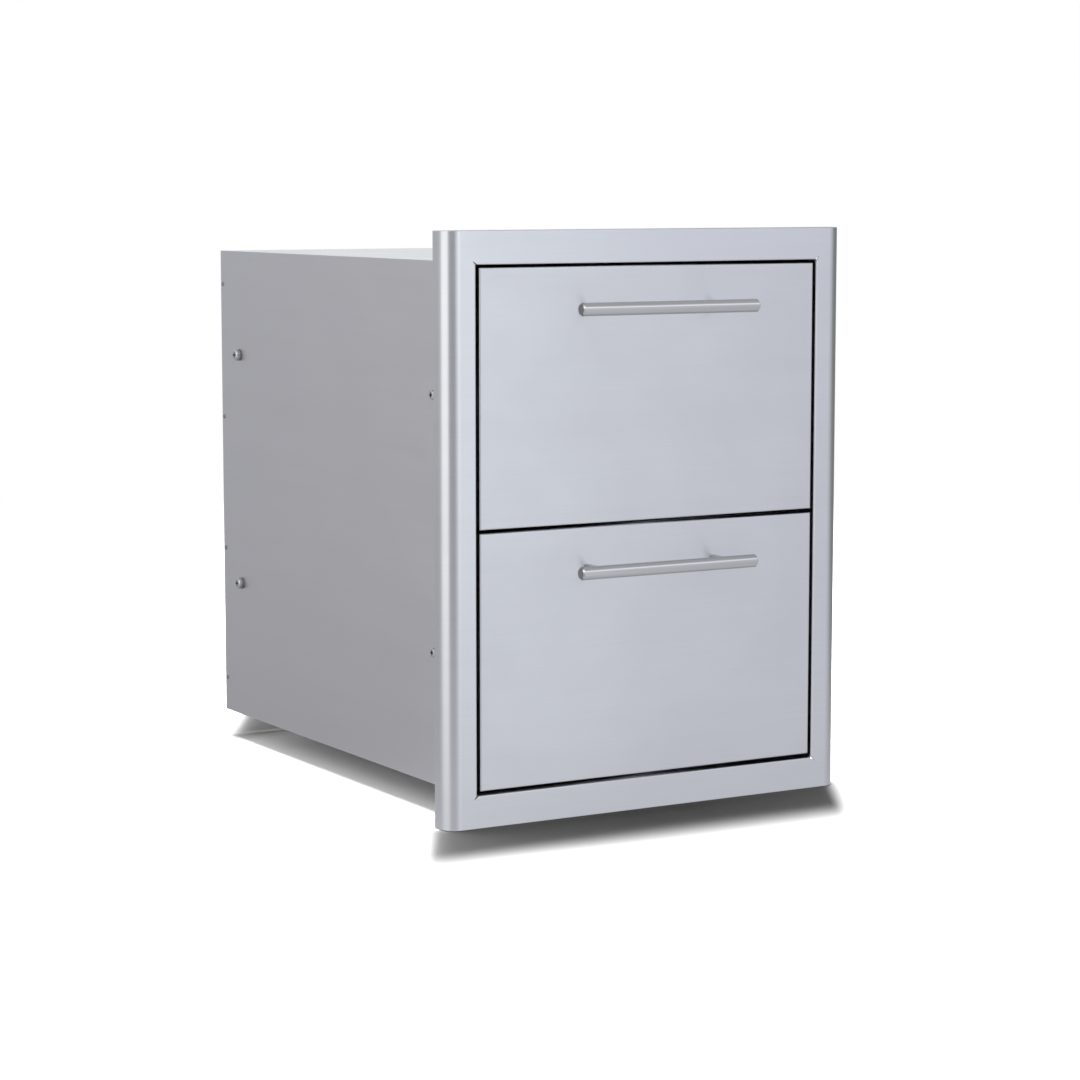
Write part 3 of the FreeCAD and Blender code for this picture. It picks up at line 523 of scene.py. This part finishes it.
# Brightness and tint of the tent's wall that the steel mirrors, by the direction from the unit's middle, in
# degrees from -Y towards +X.
TENT_ROUND = (
    (-180, (0.66, 0.67, 0.69)), (-155, (0.64, 0.65, 0.68)), (-135, (0.68, 0.67, 0.71)),
    (-112, (0.85, 0.85, 0.87)), (-98, (1.62, 1.62, 1.62)), (-60, (1.62, 1.62, 1.63)),
    (-49, (0.54, 0.54, 0.56)), (-18, (0.46, 0.46, 0.49)), (-5, (0.95, 0.96, 1.00)),
    (6, (1.34, 1.37, 1.44)), (12, (1.70, 1.74, 1.85)), (16, (1.68, 1.73, 1.82)),
    (21, (1.16, 1.19, 1.26)), (29, (1.02, 1.04, 1.13)), (38, (0.97, 0.99, 1.08)),
    (52, (0.76, 0.77, 0.82)), (64, (0.36, 0.37, 0.37)), (88, (0.30, 0.31, 0.30)),
    (134, (0.32, 0.33, 0.32)), (152, (1.00, 1.03, 1.05)), (172, (0.87, 0.89, 0.90)),
    (180, (0.66, 0.67, 0.69)),
)
# Brightness of the tent by height in metres.
TENT_UP = (
    (0.0, 0.84), (0.2, 0.88), (0.7, 0.96), (1.05, 1.09), (1.25, 1.75), (1.45, 1.78), (1.6, 1.25),
    (1.8, 1.0), (2.1, 0.85), (TENT_HEIGHT, 0.8),
)
# Height of the shade cards over the floor, and for each card a corner, two sides, and the shares of the
# first and the second side that fade out. One lies in front of the frame and one behind the casing.
SHADE_HEIGHT = 0.006
SHADES = (
    ("front_shade", (-0.238, -0.235), (0.470, 0.0), (-0.108, -0.186), (0.06, 0.06, 0.0, 0.60)),
    ("rear_shade", (-0.222, 0.240), (0.406, 0.0), (0.247, 0.423), (0.07, 0.02, 0.14, 0.02)),
)
# What the steel mirrors of the tent's floor in front of the unit and behind it, and of its roof; where the
# first floor colour turns into the second, along Y; the distances from the middle between which the floor
# turns into the wall's colour, and the heights where it stops being floor; and the roof's edge in height.
TENT_FLOOR = ((0.99, 1.01, 1.05), (0.60, 0.60, 0.63))
TENT_ROOF = (0.84, 0.85, 0.87)
FLOOR_SPLIT = (-0.38, 0.12)
FLOOR_REACH = (0.4, 1.3)
FLOOR_LEVEL = (0.1, 0.2)
ROOF_EDGE = (1.7, 2.2)
# The share of the tent's light that the steel passes on to matt surfaces.
TENT_PASSED_ON = 0.15
# Where the glow comes from, how near a direction has to be for none and all of it, and its two strengths.
GLOW_FROM = (-0.6, 0.8, 0.0)
GLOW_EDGE = (0.4, 0.9)
GLOW_LIGHT = (0.03, 5.2)
# The softbox's side and place.
KEY_SIZE = 5.0
KEY_PLACE = (0.0, 0.3, 9.0)


def filled_ramp(recipe, amount, stops):
    """The colour of a ramp whose stops are (place from 0 to 1, colour)."""
    ramp = recipe.node("ValToRGB", i0=amount)
    marks = ramp.color_ramp.elements
    while len(marks) > 1:
        marks.remove(marks[-1])
    for number, (at, colour) in enumerate(stops):
        mark = marks[0] if number == 0 else marks.new(at)
        mark.position = at
        mark.color = (*colour, 1.0)
    return ramp.outputs[0]


class DRAWERUNIT_OT_stage(bpy.types.Operator):
    """A pale floor, soft light and the camera"""

    bl_idname = "drawer_unit.stage"
    bl_label = "Studio"
    bl_options = {"REGISTER", "UNDO"}

    def execute(self, context):
        studio = context.scene.drawer_unit_studio
        self.make_floor(studio)
        self.make_tent(studio)
        self.make_sky(context.scene, studio)
        self.make_key_light(studio)
        for name, corner, side, sweep, fade in SHADES:
            self.make_shade(name, corner, side, sweep, fade)
        self.make_camera(context.scene, studio)
        context.scene.view_settings.view_transform = "Standard"
        return {"FINISHED"}

    def make_floor(self, studio):
        """A matt floor that turns plain white away from the unit."""
        floor = disc("studio_floor", FLOOR_RADIUS)
        recipe = Recipe("floor_paint")
        point = recipe.node("TexCoord").outputs["Object"]
        distance = recipe.node("VectorMath", {"operation": "LENGTH"}, i0=point).outputs["Value"]
        grit = recipe.noise((90.0, 90.0, 90.0), 3.0)
        paint = recipe.tint(recipe.spread(grit, 0.0, 1.0, 0.3, 0.7),
                            scaled(studio.floor_colour, 0.985), studio.floor_colour)
        matt = recipe.node("BsdfDiffuse", Color=paint)
        glow = recipe.node("Emission", Strength=1.0)
        fade = recipe.spread(distance, 0.0, 1.0, *FLOOR_FADE)
        mix = recipe.node("MixShader", i0=fade, i1=matt.outputs[0], i2=glow.outputs[0])
        floor.data.materials.append(recipe.surface(mix.outputs[0]))
        floor.visible_glossy = False

    def make_tent(self, studio):
        """The round tent that only the steel's reflections see."""
        tent = dome("studio_tent", TENT_RADIUS, TENT_WALL, TENT_HEIGHT)
        recipe = Recipe("tent_cloth")
        across, deep, height = recipe.node(
            "SeparateXYZ", i0=recipe.node("TexCoord").outputs["Object"]).outputs
        turn = recipe.math("ARCTAN2", across, recipe.math("MULTIPLY", deep, -1.0))
        round_share = recipe.spread(turn, 0.0, 1.0, -pi, pi)
        brightest = max(max(colour) for _, colour in TENT_ROUND)
        around = filled_ramp(recipe, round_share, [
            ((degrees + 180) / 360, scaled(colour, 1 / brightest)) for degrees, colour in TENT_ROUND])
        peak = max(share for _, share in TENT_UP)
        up = filled_ramp(recipe, recipe.spread(height, 0.0, 1.0, 0.0, TENT_HEIGHT), [
            (level / TENT_HEIGHT, (share / peak,) * 3) for level, share in TENT_UP])
        reach = recipe.math("SQRT", recipe.math(
            "ADD", recipe.math("POWER", across, 2.0), recipe.math("POWER", deep, 2.0)))
        floor = recipe.tint(recipe.spread(deep, 0.0, 1.0, *FLOOR_SPLIT),
                            *(scaled(colour, 1 / brightest) for colour in TENT_FLOOR))
        wall = recipe.tint(recipe.soft(height, *ROOF_EDGE), around, scaled(TENT_ROOF, 1 / brightest))
        off_floor = recipe.math("MAXIMUM", recipe.spread(reach, 0.0, 1.0, *FLOOR_REACH),
                                recipe.spread(height, 0.0, 1.0, *FLOOR_LEVEL))
        cloth = recipe.tint(1.0, recipe.tint(off_floor, floor, wall), up, "MULTIPLY")
        bounces = recipe.node("LightPath").outputs["Diffuse Depth"]
        strength = recipe.spread(bounces, 1.0, TENT_PASSED_ON)
        glow = recipe.node("Emission", Color=cloth, Strength=recipe.math(
            "MULTIPLY", strength, studio.tent_strength * brightest * peak))
        material = recipe.surface(glow.outputs[0])
        material.cycles.emission_sampling = "NONE"
        tent.data.materials.append(material)
        tent.visible_camera = False
        tent.visible_diffuse = False
        tent.visible_transmission = False
        tent.visible_volume_scatter = False
        tent.visible_shadow = False

    def make_sky(self, scene, studio):
        """A low glow from behind on the left, and plain white behind everything."""
        recipe = Recipe("studio_sky", "worlds")
        scene.world = recipe.owner
        nearness = recipe.dot(recipe.node("TexCoord").outputs["Generated"], GLOW_FROM)
        glow = recipe.spread(nearness, *GLOW_LIGHT, *GLOW_EDGE)
        light = recipe.node("Background", Color=glow, Strength=studio.glow_strength)
        seen = recipe.node("Background", Color=(1.0, 1.0, 1.0, 1.0), Strength=1.0)
        mix = recipe.node("MixShader", i0=recipe.node("LightPath").outputs["Is Camera Ray"],
                          i1=light.outputs[0], i2=seen.outputs[0])
        recipe.surface(mix.outputs[0], "OutputWorld")
        scene.world.cycles_visibility.glossy = False

    def make_key_light(self, studio):
        """A large softbox high overhead."""
        lamp = bpy.data.lights.new("key_softbox", "AREA")
        lamp.shape = "SQUARE"
        lamp.size = KEY_SIZE
        lamp.energy = studio.key_power
        softbox = bpy.data.objects.new("key_softbox", lamp)
        softbox.location = KEY_PLACE
        softbox.visible_glossy = False
        bpy.context.scene.collection.objects.link(softbox)

    def make_shade(self, name, corner, side, sweep, fade):
        """A low card that no camera and no reflection sees and that shades the floor: a corner, its two
        sides, and how much of each fades out at its start and its end."""
        shares = [(0, 0), (1, 0), (1, 1), (0, 1)]
        card = studio_piece(name, [
            (corner[0] + a * side[0] + b * sweep[0], corner[1] + a * side[1] + b * sweep[1], SHADE_HEIGHT)
            for a, b in shares], [[0, 1, 2, 3]])
        for place, share in zip(card.data.uv_layers.new(name="shares").data, shares):
            place.uv = share
        recipe = Recipe(name)
        along_side, along_sweep, _ = recipe.node(
            "SeparateXYZ", i0=recipe.node("TexCoord").outputs["UV"]).outputs
        shade = recipe.spread(recipe.noise((400.0, 400.0, 400.0)), 0.92, 0.94, *WIDE)
        for share, start, end in ((along_side, *fade[:2]), (along_sweep, *fade[2:])):
            for side_share, width in ((share, start), (recipe.math("SUBTRACT", 1.0, share), end)):
                if width:
                    shade = recipe.math("MULTIPLY", shade, recipe.soft(side_share, 0.0, width))
        cloth = recipe.node("BsdfDiffuse", Color=(0.02, 0.02, 0.02, 1.0))
        mix = recipe.node("MixShader", i0=shade, i1=recipe.node("BsdfTransparent").outputs[0],
                          i2=cloth.outputs[0])
        card.data.materials.append(recipe.surface(mix.outputs[0]))
        card.visible_camera = False
        card.visible_glossy = False

    def make_camera(self, scene, studio):
        """The camera that sees the unit about as the photograph does."""
        lens = bpy.data.cameras.new("camera")
        lens.sensor_width = 36.0
        lens.lens = studio.camera_lens
        lens.clip_start = 0.05
        lens.clip_end = 60.0
        camera = bpy.data.objects.new("camera", lens)
        camera.location = studio.camera_place
        camera.rotation_euler = Euler((pi / 2 - studio.camera_dip, 0.0, -studio.camera_turn))
        scene.collection.objects.link(camera)
        scene.camera = camera


class DRAWERUNIT_PT_sidebar(bpy.types.Panel):
    """The unit's finishes and its studio"""

    bl_idname = "DRAWERUNIT_PT_sidebar"
    bl_label = "Drawer Unit"
    bl_space_type = "VIEW_3D"
    bl_region_type = "UI"
    bl_category = "Drawer Unit"

    def draw(self, context):
        for group in (context.scene.drawer_unit_steel, context.scene.drawer_unit_fittings,
                      context.scene.drawer_unit_studio):
            box = self.layout.box()
            for name in group.__annotations__:
                box.prop(group, name)
        column = self.layout.column(align=True)
        for operator in OPERATORS:
            column.operator(operator.bl_idname)


GROUPS = (DrawerUnitSteel, DrawerUnitFittings, DrawerUnitStudio)
OPERATORS = (
    DRAWERUNIT_OT_trim_frame,
    DRAWERUNIT_OT_drawer_fronts,
    DRAWERUNIT_OT_casing,
    DRAWERUNIT_OT_handles,
    DRAWERUNIT_OT_trays,
    DRAWERUNIT_OT_slides,
    DRAWERUNIT_OT_bearings,
    DRAWERUNIT_OT_fasteners,
    DRAWERUNIT_OT_buffers,
    DRAWERUNIT_OT_stage,
)
CLASSES = (*GROUPS, *OPERATORS, DRAWERUNIT_PT_sidebar)


def register():
    """Adds the classes and the scene's settings."""
    for made in CLASSES:
        bpy.utils.register_class(made)
    bpy.types.Scene.drawer_unit_steel = bpy.props.PointerProperty(type=DrawerUnitSteel)
    bpy.types.Scene.drawer_unit_fittings = bpy.props.PointerProperty(type=DrawerUnitFittings)
    bpy.types.Scene.drawer_unit_studio = bpy.props.PointerProperty(type=DrawerUnitStudio)


def unregister():
    """Takes them away again."""
    del bpy.types.Scene.drawer_unit_studio
    del bpy.types.Scene.drawer_unit_fittings
    del bpy.types.Scene.drawer_unit_steel
    for made in reversed(CLASSES):
        bpy.utils.unregister_class(made)


def main():
    register()
    for operator in OPERATORS:
        group, name = operator.bl_idname.split(".")
        getattr(getattr(bpy.ops, group), name)()


if __name__ == "__main__":
    main()
